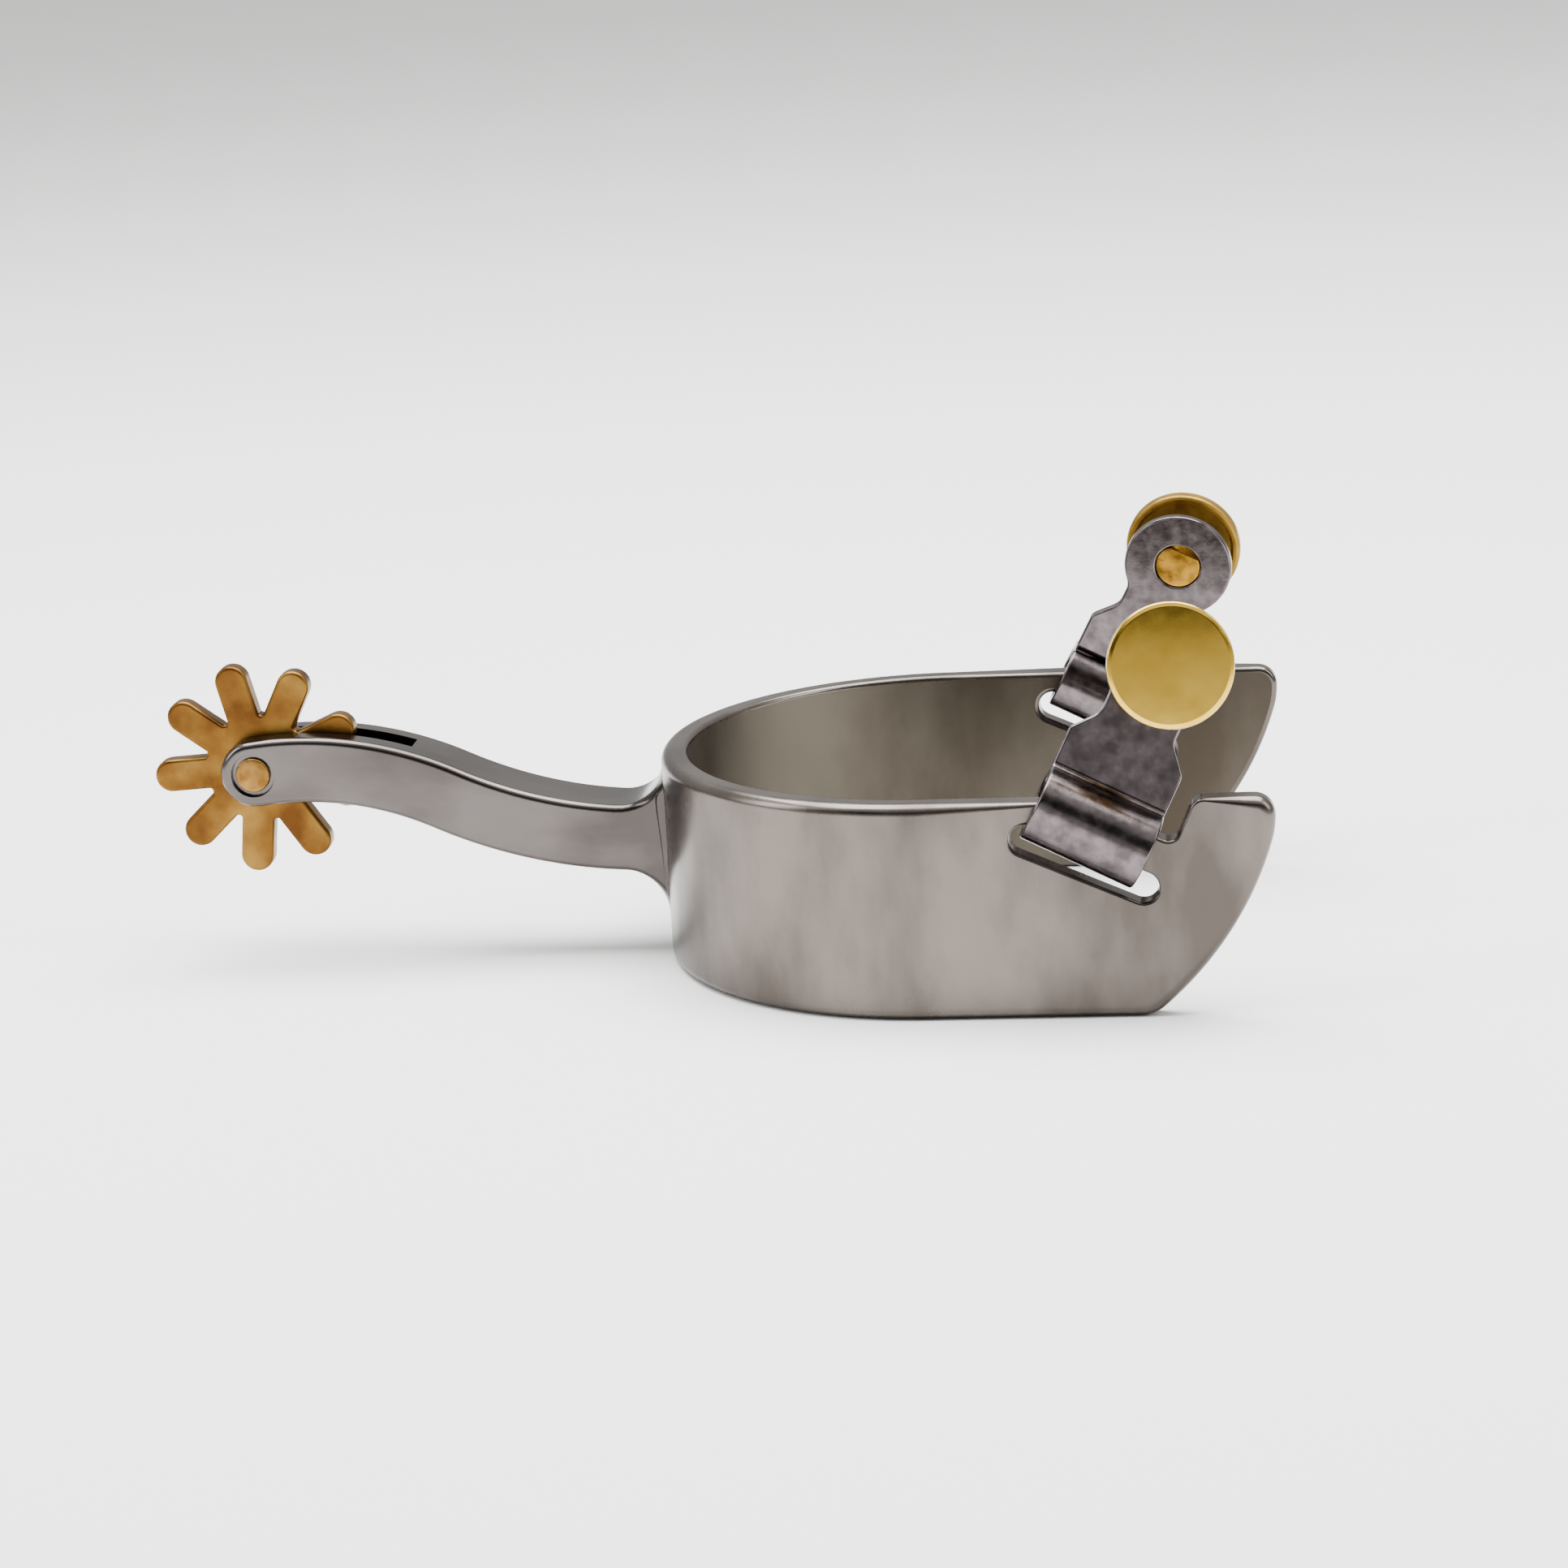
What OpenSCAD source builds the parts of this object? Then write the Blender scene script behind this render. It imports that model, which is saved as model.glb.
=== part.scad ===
// Western riding spur: a steel heel band with a forked shank, a brass rowel on a pin, and a strap hanger
// with a brass button on each side. X runs from the rowel towards the band's open end, Y to the left and
// Z up. The spur stands on the band's lower edge at Z = 0, and the origin is below the middle of its
// whole length. The modules work from the back of the heel (X = 0), and from_origin() places them.

/* [Heel band] */
// Width between the insides of the two sides
inside_w = 75; // [72:0.5:84]
// Thickness of the band
band_t = 4; // [3.5:0.1:4]
// Height of the band
band_h = 31.75; // [31:0.25:33]
// Length from the back of the heel to the tips
band_len = 91.7; // [90:0.1:95]

/* [Band tips] */
// Radius of each tip's upper corner
tip_corner_r = 3; // [2:0.1:3.5]
// Radius of the tip's nose, below the corner
nose_r = 12.6; // [10:0.1:14]
// Angle that the nose turns through
nose_turn = 17; // [14:1:19]
// Radius of the long sweep back to the lower edge
sweep_r = 51; // [48:0.5:55]
// Radius of the rounded toe at the end of the sweep
toe_r = 5; // [4:0.1:6]

/* [Hinge slot and notch] */
// Slope of the hinge bar, falling towards the tips
bar_slope = 24; // [21:0.5:25]
// Length of the slot
slot_len = 22.4; // [21.5:0.1:24]
// Width of the slot
slot_w = 4.4; // [4:0.1:5.2]
// Height of the bar that is left between the slot and the notch
bar_h = 5.3; // [4.8:0.1:5.4]
// Middle of the slot, along the band
slot_x = 64.8; // [62:0.1:66]
// Middle of the slot, up from the lower edge
slot_z = 22.7; // [21.5:0.1:23]
// How far the notch reaches past the slot's middle
notch_reach = 10.6; // [10:0.1:11]
// Radius at the root of the notch
notch_root_r = 1.2; // [0.8:0.1:2]
// Radius of the lip where the notch meets the upper edge
notch_lip_r = 2; // [1:0.1:3]

/* [Shank] */
// Thickness of the shank, side to side
shank_t = 12; // [10:0.5:13]
// Height of the shank
shank_h = 10.1; // [9.5:0.1:10.5]
// Height of the shank's middle at its lowest place
dip_z = 18.1; // [17:0.1:19]
// How far behind the heel the lowest place is
dip_back = 2; // [1.5:0.1:3]
// Radius of the lower bend of the S
dip_r = 72; // [68:1:76]
// Radius of the upper bend of the S
crest_r = 52; // [48:1:56]
// Slope where the two bends meet
s_angle = 25.3; // [24.5:0.1:26]
// Radius of the fillets against the heel
fillet_r = 6.5; // [4:0.1:7]
// Width of the fork's gap
fork_gap = 4.4; // [4:0.1:5]
// How far the fork's gap reaches from the pin
fork_len = 24; // [20:0.5:26]

/* [Rowel and pin] */
// How far behind the heel the pin is
pin_back = 62; // [60:0.1:64]
// Diameter of the pin
pin_d = 5.3; // [4.5:0.1:6]
// How far each peened end stands proud of the shank
pin_proud = 0.25; // [0:0.05:0.5]
// Diameter of the shallow recess round each end of the pin
recess_d = 6.3; // [6:0.1:7]
// Depth of that recess
recess_deep = 0.7; // [0.4:0.1:1]
// Number of teeth
teeth = 9; // [7:1:10]
// Width of a tooth
tooth_w = 5; // [4.5:0.1:5.4]
// Radius of the circle of the teeth's end centres
tooth_circle_r = 13.8; // [13:0.1:14.5]
// Radius of the solid disc between the teeth
disc_r = 8.4; // [8:0.1:9.5]
// Thickness of the rowel
rowel_t = 3; // [2.5:0.1:3.4]
// Angle of the first tooth above the shank
first_tooth = 63.8; // [0:0.1:90]
// Clearance of the rowel on its pin, in radius
rowel_play = 0.07; // [0.03:0.01:0.1]

/* [Strap hangers] */
// Thickness of the sheet steel
sheet_t = 1.5; // [1.3:0.1:1.6]
// Width of the hanger at its hinge
hanger_w = 17.3; // [16:0.1:17.5]
// How far forward of the slot's middle the hanger sits
hanger_forward = -0.9; // [-1:0.1:0.5]
// Angle that the hanger leans in over the boot
lean = 12.5; // [5:0.5:18]
// Angle that the hangers stand askew on their bars, within the play of their loops
askew = 3; // [0:0.5:3]
// Clearance between the rolled loop and the bar's corners, in radius
loop_play = 0.7; // [0.6:0.05:0.8]
// Radius of the bend between the loop and the plate, inside
neck_bend_r = 1; // [0.8:0.1:1.5]
// Angle round the loop, from straight out, where the sheet's tucked end stops
tuck_angle = 110; // [108:1:125]
// Distance from the hinge to the middle of the button
eye_up = 25.2; // [24:0.1:27]
// Radius of the round eye
eye_r = 8.3; // [7.5:0.1:8.6]
// Half width of the waist under the eye
waist = 5.6; // [5:0.1:6]
// Height of the shoulders above the hinge
shoulder_up = 11.6; // [11:0.1:12]
// Height of the waist's lower end above the hinge
waist_up = 15.2; // [15:0.1:15.6]
// Radius of the shoulders
shoulder_r = 1.6; // [1:0.1:2]
// Radius of the hollows beside the waist
hollow_r = 3; // [2:0.1:3]

/* [Buttons] */
// Diameter of the button
button_d = 17.8; // [16:0.1:19]
// Thickness of the button
button_t = 2.6; // [2.4:0.1:3.2]
// Width of the rim round the hollow back
rim_w = 1.3; // [1:0.1:2]
// Depth of the hollow in the button's back
back_deep = 0.8; // [0.4:0.1:1.2]
// Width of the bevel round the face
bevel_w = 1.2; // [0.8:0.1:2]
// Height of the bevel
bevel_h = 0.7; // [0.4:0.1:0.9]
// Radius of the rounded rim
rim_round = 0.5; // [0.3:0.05:0.6]
// Room for the strap between the hanger and the button
strap_gap = 5.4; // [5:0.1:6]
// Diameter of the button's post
post_d = 7; // [6:0.1:8]
// Height above the post's middle of the flat along it
post_flat = 2.3; // [2.2:0.1:2.9]

/* [Hidden] */
$fn = 96;

// Steps in the outline arcs, and a length that passes right through any piece
steps = 10;
through = 400;
// How far, in degrees, one bend runs on into the next, so that the two make one solid
seam = 0.5;

// The heel is a half circle that runs into straight, parallel sides
heel_r = inside_w / 2 + band_t;

// The pin lies on the crest bend of the S
crest_x = -dip_back - (dip_r + crest_r) * sin(s_angle);
crest_z = dip_z + (dip_r + crest_r) * (1 - cos(s_angle));
pin_turn = asin((crest_x + pin_back) / crest_r);
pin_z = crest_z - crest_r * (1 - cos(pin_turn));

// The whole length, from the rearmost tooth to the tips, sets the origin
tooth_back = min([for (i = [0:teeth - 1]) cos(first_tooth + i * 360 / teeth)]) * tooth_circle_r;
rear_x = -pin_back + tooth_back - tooth_w / 2;
middle_x = (rear_x + band_len) / 2;

// Across the bar: its middle is above the slot's, and the loop just clears its corners
bar_up = (slot_w + bar_h) / 2;
loop_r = norm([band_t, bar_h]) / 2 + loop_play;
hinge_y = heel_r - band_t / 2;

// The bend between loop and plate touches the loop at bend_angle, and its centre is at [bend_out, bend_up]
bend_out = neck_bend_r;
bend_reach = loop_r + sheet_t + neck_bend_r;
bend_angle = acos(bend_out / bend_reach);
bend_up = bend_reach * sin(bend_angle);

// Points on an arc about c from angle a to angle b
function arc(c, r, a, b) = [for (i = [0:steps]) c + r * polar(a + (b - a) * i / steps)];
function polar(a) = [cos(a), sin(a)];
function unit(v) = v / norm(v);

// A rounded corner at p, on the way from a to b
function corner(a, p, b, r) =
    let (
        u = unit(a - p),
        v = unit(b - p),
        half = acos(u * v) / 2,
        c = p + unit(u + v) * r / sin(half),
        s = p + u * r / tan(half) - c,
        start = atan2(s[1], s[0]),
        turn = -sign(cross(u, v)) * (180 - 2 * half)
    )
    arc(c, r, start, start + turn);

function mirrored(points) = [for (i = [len(points) - 1:-1:0]) [-points[i][0], points[i][1]]];

// A place along and up from the slot's middle, in the slope of the bar, as [x, z] on the band's side
function on_slope(along, up) = [
    slot_x + along * cos(bar_slope) + up * sin(bar_slope),
    slot_z - along * sin(bar_slope) + up * cos(bar_slope)
];

module from_origin() {
    translate([-middle_x, 0, 0]) children();
}

// Extrudes an [x, z] outline across the spur, centred on Y = 0
module across(width) {
    rotate([90, 0, 0]) linear_extrude(height = width, center = true) children();
}

// A curved wall about the Z axis, between radius r and r + t, standing on Z = 0
module curved_wall(r, t, h, start, turn) {
    rotate_extrude(angle = turn, start = start) translate([r, 0]) square([t, h]);
}

// Side view of the band: the swept tips, and the notch in the upper edge
function tip_outline() =
    let (
        corner_c = [band_len - tip_corner_r, band_h - tip_corner_r],
        nose_c = [band_len - nose_r, corner_c[1]],
        sweep_c = nose_c + (nose_r - sweep_r) * polar(-nose_turn),
        toe_angle = -asin((sweep_c[1] - toe_r) / (sweep_r - toe_r)),
        toe_c = sweep_c + (sweep_r - toe_r) * polar(toe_angle)
    )
    concat(
        arc(toe_c, toe_r, -90, toe_angle),
        arc(sweep_c, sweep_r, toe_angle, -nose_turn),
        arc(nose_c, nose_r, -nose_turn, 0),
        arc(corner_c, tip_corner_r, 0, 90)
    );

function notch_outline() =
    let (
        floor_up = slot_w / 2 + bar_h,
        root = on_slope(notch_reach, floor_up),
        lip_x = root[0] + (band_h - root[1]) * tan(bar_slope),
        mouth_x = root[0] - (band_h - root[1]) / tan(bar_slope),
        lip = [lip_x, band_h],
        mouth = [mouth_x, band_h]
    )
    concat(
        corner([band_len, band_h], lip, root, notch_lip_r),
        corner(lip, root, mouth, notch_root_r),
        [mouth]
    );

module band_side_view() {
    polygon(concat([[-heel_r, 0]], tip_outline(), notch_outline(), [[-heel_r, band_h]]));
}

module slot_outline() {
    place = on_slope(0, 0);
    straight = slot_len - slot_w;
    translate(place) rotate(-bar_slope) {
        square([straight, slot_w], center = true);
        for (end = [-1, 1]) translate([end * straight / 2, 0]) circle(d = slot_w);
    }
}

module u_strip() {
    translate([heel_r, 0, 0]) curved_wall(heel_r - band_t, band_t, band_h, 90, 180);
    for (side = [0, 1]) mirror([0, side, 0])
        translate([heel_r, heel_r - band_t, 0]) cube([band_len - heel_r, band_t, band_h]);
}

module heel_band() {
    color("silver") from_origin() difference() {
        intersection() {
            u_strip();
            across(through) band_side_view();
        }
        across(through) slot_outline();
    }
}

// Side view of the shank: the upper surface from the heel back to the pin, and the lower one forward
// again. Each fillet is tangent to the heel and to the lower bend.
function fillet_c(reach) =
    [-fillet_r, dip_z + dip_r - sqrt(pow(reach, 2) - pow(fillet_r - dip_back, 2))];

function shank_outline() =
    let (
        half_h = shank_h / 2,
        dip_c = [-dip_back, dip_z + dip_r],
        crest_c = [crest_x, crest_z - crest_r],
        pin_c = [-pin_back, pin_z],
        upper_c = fillet_c(dip_r - half_h - fillet_r),
        lower_c = fillet_c(dip_r + half_h + fillet_r),
        upper = upper_c - dip_c,
        lower = lower_c - dip_c,
        upper_end = atan2(upper[1], upper[0]),
        lower_end = atan2(lower[1], lower[0])
    )
    concat(
        [[band_t, lower_c[1]], [band_t, upper_c[1]]],
        arc(upper_c, fillet_r, 0, upper_end),
        arc(dip_c, dip_r - half_h, upper_end, -90 - s_angle),
        arc(crest_c, crest_r + half_h, 90 - s_angle, 90 + pin_turn),
        arc(pin_c, half_h, 90 + pin_turn, 270 + pin_turn),
        arc(crest_c, crest_r - half_h, 90 + pin_turn, 90 - s_angle),
        arc(dip_c, dip_r + half_h, -90 - s_angle, lower_end),
        arc(lower_c, fillet_r, 180 + lower_end, 0)
    );

module shank() {
    color("silver") from_origin() difference() {
        across(shank_t) polygon(shank_outline());
        translate([heel_r, 0, 0]) cylinder(r = heel_r, h = through, center = true);
        translate([-pin_back - shank_h, -fork_gap / 2, 0])
            cube([shank_h + fork_len, fork_gap, 2 * band_h]);
        translate([-pin_back, 0, pin_z]) {
            across(through) circle(d = pin_d);
            for (side = [0, 1]) mirror([0, side, 0])
                translate([0, shank_t / 2 - recess_deep, 0]) rotate([-90, 0, 0])
                    cylinder(d = recess_d, h = 2 * recess_deep);
        }
    }
}

module rowel() {
    color("darkgoldenrod") from_origin() translate([-pin_back, 0, pin_z]) across(rowel_t) difference() {
        union() {
            circle(r = disc_r);
            for (i = [0:teeth - 1]) rotate(first_tooth + i * 360 / teeth) {
                translate([0, -tooth_w / 2]) square([tooth_circle_r, tooth_w]);
                translate([tooth_circle_r, 0]) circle(d = tooth_w);
            }
        }
        circle(r = pin_d / 2 + rowel_play);
    }
}

module rowel_pin() {
    color("goldenrod") from_origin()
        translate([-pin_back, 0, pin_z]) across(shank_t + 2 * pin_proud) circle(d = pin_d);
}

// The hanger's own frame on one side: X along the hinge bar, Y straight out from the plate, Z up the
// plate, with the hinge as its X axis. Side 1 is the left and side -1 the right.
module on_hinge(side) {
    hinge = on_slope(hanger_forward, bar_up);
    from_origin() mirror([0, (1 - side) / 2, 0])
        translate([hinge[0], hinge_y, hinge[1]]) rotate([0, bar_slope + askew, 0]) rotate([lean, 0, 0])
            children();
}

// Turns an [out, up] outline about the hinge, and spreads it along the bar
module rolled(r, start, turn) {
    translate([-hanger_w / 2, 0, 0]) rotate([90, 0, 90]) curved_wall(r, sheet_t, hanger_w, start, turn);
}

function plate_side() =
    let (
        half_w = hanger_w / 2,
        foot = [half_w, bend_up],
        shoulder = [half_w, shoulder_up],
        waist_low = [waist, waist_up],
        hollow_x = waist + hollow_r,
        hollow_down = sqrt(pow(eye_r + hollow_r, 2) - pow(hollow_x, 2)),
        hollow_c = [hollow_x, eye_up - hollow_down],
        eye_start = atan2(-hollow_down, hollow_x)
    )
    concat(
        [foot],
        corner(foot, shoulder, waist_low, shoulder_r),
        corner(shoulder, waist_low, [waist, hollow_c[1]], hollow_r),
        arc(hollow_c, hollow_r, 180, 180 + eye_start),
        arc([0, eye_up], eye_r, eye_start, 90)
    );

module hanger_plate() {
    rotate([90, 0, 0]) linear_extrude(height = sheet_t) difference() {
        polygon(concat(plate_side(), mirrored(plate_side())));
        translate([0, eye_up]) circle(d = post_d);
    }
}

module hanger(side) {
    color("lightslategray") on_hinge(side) {
        hanger_plate();
        rolled(loop_r, tuck_angle - 360, bend_angle - tuck_angle + 360 + seam);
        translate([0, bend_out, bend_up]) rolled(neck_bend_r, 180 - seam, bend_angle + 2 * seam);
    }
}

// The post runs from the hanger's inner face into the button, and has a flat on top as far as the button
module button_post(side) {
    color("goldenrod") on_hinge(side) translate([0, -sheet_t, eye_up]) difference() {
        rotate([-90, 0, 0]) cylinder(d = post_d, h = sheet_t + strap_gap + back_deep);
        translate([-post_d, 0, post_flat]) cube([2 * post_d, sheet_t + strap_gap, post_d]);
    }
}

// Half section of the button: a hollow back, a rounded rim and a bevelled, flat face
function button_section() =
    let (
        rim_r = button_d / 2,
        hollow_edge = [rim_r - rim_w, 0],
        back_edge = [rim_r, 0],
        bevel_low = [rim_r, button_t - bevel_h],
        bevel_top = [rim_r - bevel_w, button_t]
    )
    concat(
        [[0, back_deep], hollow_edge + [0, back_deep], hollow_edge],
        corner(hollow_edge, back_edge, bevel_low, rim_round),
        corner(back_edge, bevel_low, bevel_top, rim_round),
        corner(bevel_low, bevel_top, [0, button_t], rim_round),
        [[0, button_t]]
    );

module button(side) {
    color("gold") on_hinge(side) translate([0, strap_gap, eye_up]) rotate([-90, 0, 0])
        rotate_extrude() polygon(button_section());
}

module left_hanger() { hanger(1); }
module left_button_post() { button_post(1); }
module left_button() { button(1); }
module right_hanger() { hanger(-1); }
module right_button_post() { button_post(-1); }
module right_button() { button(-1); }

heel_band();
shank();
rowel();
rowel_pin();
left_hanger();
left_button_post();
left_button();
right_hanger();
right_button_post();
right_button();
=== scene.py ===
"""Western riding spur: the visible pieces over the CAD frame, with a plain studio round them.

Lengths in the piece functions are millimetres from the back of the heel (X), the middle (Y) and the
floor (Z). Every piece is built as points with their true surface normals, so that edges and bends
shade smoothly, and is moved into the frame when its mesh is made.
"""
import math

import bpy
from mathutils import Matrix, Vector, noise
from mathutils.geometry import delaunay_2d_cdt


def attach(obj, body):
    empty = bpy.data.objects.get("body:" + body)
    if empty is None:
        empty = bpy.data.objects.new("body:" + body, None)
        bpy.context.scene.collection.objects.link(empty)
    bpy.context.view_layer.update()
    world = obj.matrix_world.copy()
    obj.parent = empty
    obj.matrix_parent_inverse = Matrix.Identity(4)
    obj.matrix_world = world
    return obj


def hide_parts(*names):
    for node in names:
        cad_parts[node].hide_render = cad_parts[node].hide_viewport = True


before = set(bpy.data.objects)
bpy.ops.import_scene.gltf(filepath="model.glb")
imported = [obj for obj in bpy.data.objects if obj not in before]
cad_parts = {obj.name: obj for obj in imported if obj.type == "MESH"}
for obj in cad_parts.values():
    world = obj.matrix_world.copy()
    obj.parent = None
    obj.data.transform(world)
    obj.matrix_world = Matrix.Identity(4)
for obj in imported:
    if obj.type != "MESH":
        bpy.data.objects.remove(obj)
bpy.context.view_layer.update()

MM = 0.001
ORIGIN = Vector((6.71517, 0.0, 0.0))

# How finely the surfaces are made
SAME_POINT = 1e-5
THIN_TRIANGLE = 1e-4
WELDS_PER_MM = 2000
HOLE_STEPS = 64
LOOP_RIBS = 44
NECK_RIBS = 10
FINE_GRAIN = 2500.0
BUMP_DEPTH = 0.0001
HEEL_STEPS = 48
BUTTON_STEPS = 96
POST_STEPS = 72

# Heel band
BAND_T = 4.0
BAND_H = 31.75
BAND_LEN = 91.7
HEEL_R = 41.5
MID_R = HEEL_R - BAND_T / 2
HEEL_ARC = MID_R * math.pi / 2
OUTER_ROUND = 1.7
INNER_ROUND = 0.8
SLOT_ROUND = 0.5
TIP_CORNER_R = 3.0
NOSE_R = 12.6
NOSE_TURN = 17.0
SWEEP_R = 51.0
TOE_R = 5.0
BAR_SLOPE = 24.0
SLOT_LEN = 22.4
SLOT_W = 4.4
BAR_H = 5.3
SLOT_X = 64.8
SLOT_Z = 22.7
NOTCH_REACH = 10.6
NOTCH_ROOT_R = 1.6
NOTCH_LIP_R = 2.2

# Shank, rowel and pin
SHANK_T = 12.0
SHANK_H = 10.1
SHANK_ROUND = 1.1
DIP_Z = 18.1
DIP_BACK = 2.0
DIP_R = 72.0
CREST_R = 52.0
S_ANGLE = 25.3
FILLET_R = 6.5
FLARE = 0.3
FLARE_LEN = 7.0
EMBED = 1.5
BEAD_BELOW = 3.5
BEAD_ABOVE = 3.2
BEAD_THIN = 0.45
BEAD_GROWTH = 1.15
BEAD_RIPPLE = 0.05
FORK_GAP = 4.4
FORK_LEN = 24.0
PIN_BACK = 62.0
PIN_R = 2.65
PIN_HALF = 6.24
PIN_ROUND = 0.35
PIN_PLAY = 0.07
BORE_ROUND = 0.2
GAP_ROUND = 0.12
RECESS_R = 3.25
RECESS_DEEP = 0.7
RECESS_LIP = 0.15
TEETH = 9
TOOTH_W = 5.0
TOOTH_CIRCLE_R = 13.8
DISC_R = 8.4
ROWEL_T = 3.0
ROWEL_ROUND = 0.55
FIRST_TOOTH = 63.8

# Strap hangers and buttons
SHEET_T = 1.5
SHEET_ROUND = 0.35
FOOT_CLEAR = 0.5
EYE_ROUND = 0.25
EYE_PLAY = 0.1
HANGER_W = 17.3
HANGER_FORWARD = -0.9
ASKEW = 3.0
LEAN = 12.5
LOOP_PLAY = 0.7
NECK_R = 1.0
TUCK_ANGLE = 110.0
EYE_UP = 25.2
EYE_R = 8.3
WAIST = 5.6
SHOULDER_UP = 11.6
WAIST_UP = 15.2
SHOULDER_R = 1.6
HOLLOW_R = 3.0
POST_R = 3.45
POST_FLAT = 2.3
STRAP_GAP = 5.4
BUTTON_R = 8.9
BUTTON_T = 2.6
RIM_W = 1.3
BACK_DEEP = 0.8
RIM_T = 1.95
BEVEL_R = 7.4
DOME = 0.3


def polar(degrees):
    angle = math.radians(degrees)
    return Vector((math.cos(angle), math.sin(angle)))


def arc(centre, radius, start, end, steps=12):
    """Points on an arc, from angle start to angle end in degrees."""
    centre = Vector(centre)
    return [centre + radius * polar(start + (end - start) * i / steps) for i in range(steps + 1)]


def corner(a, p, b, radius, steps=8):
    """A rounded corner at p on the way from a to b."""
    a, p, b = Vector(a), Vector(p), Vector(b)
    u = (a - p).normalized()
    v = (b - p).normalized()
    half = math.acos(u.dot(v)) / 2
    centre = p + (u + v).normalized() * radius / math.sin(half)
    first = p + u * radius / math.tan(half) - centre
    start = math.degrees(math.atan2(first.y, first.x))
    way = -1 if u.x * v.y - u.y * v.x > 0 else 1
    return arc(centre, radius, start, start + way * (180 - 2 * math.degrees(half)), steps)


def distinct(points, closed=True):
    """Drops points that repeat the one before."""
    kept = []
    for point in points:
        point = Vector(point)
        if not kept or (point - kept[-1]).length > SAME_POINT:
            kept.append(point)
    if closed and (kept[0] - kept[-1]).length <= SAME_POINT:
        kept.pop()
    return kept


def side_normals(points, closed=True):
    """Normals to the right of a line of points, weighted by the length of the segments they join."""
    count = len(points)
    edges = []
    for i in range(count if closed else count - 1):
        step = points[(i + 1) % count] - points[i]
        edges.append(Vector((step.y, -step.x)))
    result = []
    for i in range(count):
        before = edges[i - 1] if closed or i > 0 else edges[0]
        after = edges[i] if closed or i < count - 1 else edges[-1]
        result.append((before * before.length + after * after.length).normalized())
    return result


def inside(point, loop):
    """Whether a point is inside a closed loop."""
    hit = False
    for i, b in enumerate(loop):
        a = loop[i - 1]
        if (a.y > point.y) != (b.y > point.y):
            if point.x < (b.x - a.x) * (point.y - a.y) / (b.y - a.y) + a.x:
                hit = not hit
    return hit


class Shell:
    """Faces with a normal at each corner, welded where their points meet."""

    def __init__(self):
        self.index = {}
        self.points = []
        self.faces = []
        self.normals = []
        self.slots = []

    def point(self, place):
        key = tuple(round(value * WELDS_PER_MM) for value in place)
        if key not in self.index:
            self.index[key] = len(self.points)
            self.points.append(Vector(place))
        return self.index[key]

    def face(self, places, normals, slot=0):
        ids, kept = [], []
        for place, normal in zip(places, normals):
            number = self.point(place)
            if number not in ids:
                ids.append(number)
                kept.append(normal)
        if len(ids) < 3:
            return
        a, b, c = (self.points[ids[i]] for i in (0, 1, 2))
        flat = (b - a).cross(c - a)
        if flat.dot(sum(kept, Vector((0, 0, 0)))) < 0:
            ids.reverse()
            kept.reverse()
        self.faces.append(ids)
        self.normals.append(kept)
        self.slots.append(slot)

    def strip(self, ring_a, ring_b, closed=True, slot=0):
        """Quads between two rings of (place, normal) pairs."""
        count = len(ring_a)
        for i in range(count if closed else count - 1):
            j = (i + 1) % count
            corners = [ring_a[i], ring_a[j], ring_b[j], ring_b[i]]
            self.face([c[0] for c in corners], [c[1] for c in corners], slot)

    def build(self, name, materials, body, node):
        mesh = bpy.data.meshes.new(name)
        mesh.from_pydata([(p - ORIGIN) * MM for p in self.points], [], self.faces)
        for material in materials:
            mesh.materials.append(material)
        mesh.polygons.foreach_set("material_index", self.slots)
        mesh.polygons.foreach_set("use_smooth", [True] * len(self.faces))
        mesh.update()
        mesh.normals_split_custom_set([n for face in self.normals for n in face])
        piece = bpy.data.objects.new(name, mesh)
        bpy.context.scene.collection.objects.link(piece)
        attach(piece, body)
        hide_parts(node)
        return piece


def in_line(a, b, c):
    """Whether a triangle is flat to within the rounding of its points."""
    longest = max((b - a).length, (c - b).length, (a - c).length)
    return abs((b - a).cross(c - a)) < THIN_TRIANGLE * longest


def fill(loops, ribs, axis):
    """Triangles of a flat region: the first loop is its outside and the others are its holes.

    Each rib is a value along the axis where the region is cut straight across."""
    points = [p for loop in loops for p in loop]
    edges = []
    first = 0
    for loop in loops:
        edges += [(first + i, first + (i + 1) % len(loop)) for i in range(len(loop))]
        first += len(loop)
    for rib in ribs:
        on_rib = [i for i, p in enumerate(points) if abs(p[axis] - rib) < THIN_TRIANGLE]
        on_rib.sort(key=lambda i: points[i][1 - axis])
        if len(on_rib) > 1:
            edges.append((on_rib[0], on_rib[-1]))
    found, _, triangles, origins, _, _ = delaunay_2d_cdt(points, edges, [], 0, 1e-6)
    result = []
    for triangle in triangles:
        if in_line(*(found[i] for i in triangle)):
            continue
        centre = sum((found[i] for i in triangle), Vector((0, 0))) / 3
        if inside(centre, loops[0]) and not any(inside(centre, loop) for loop in loops[1:]):
            result.append([points[origins[i][0]] if origins[i] else found[i] for i in triangle])
    return result


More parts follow.
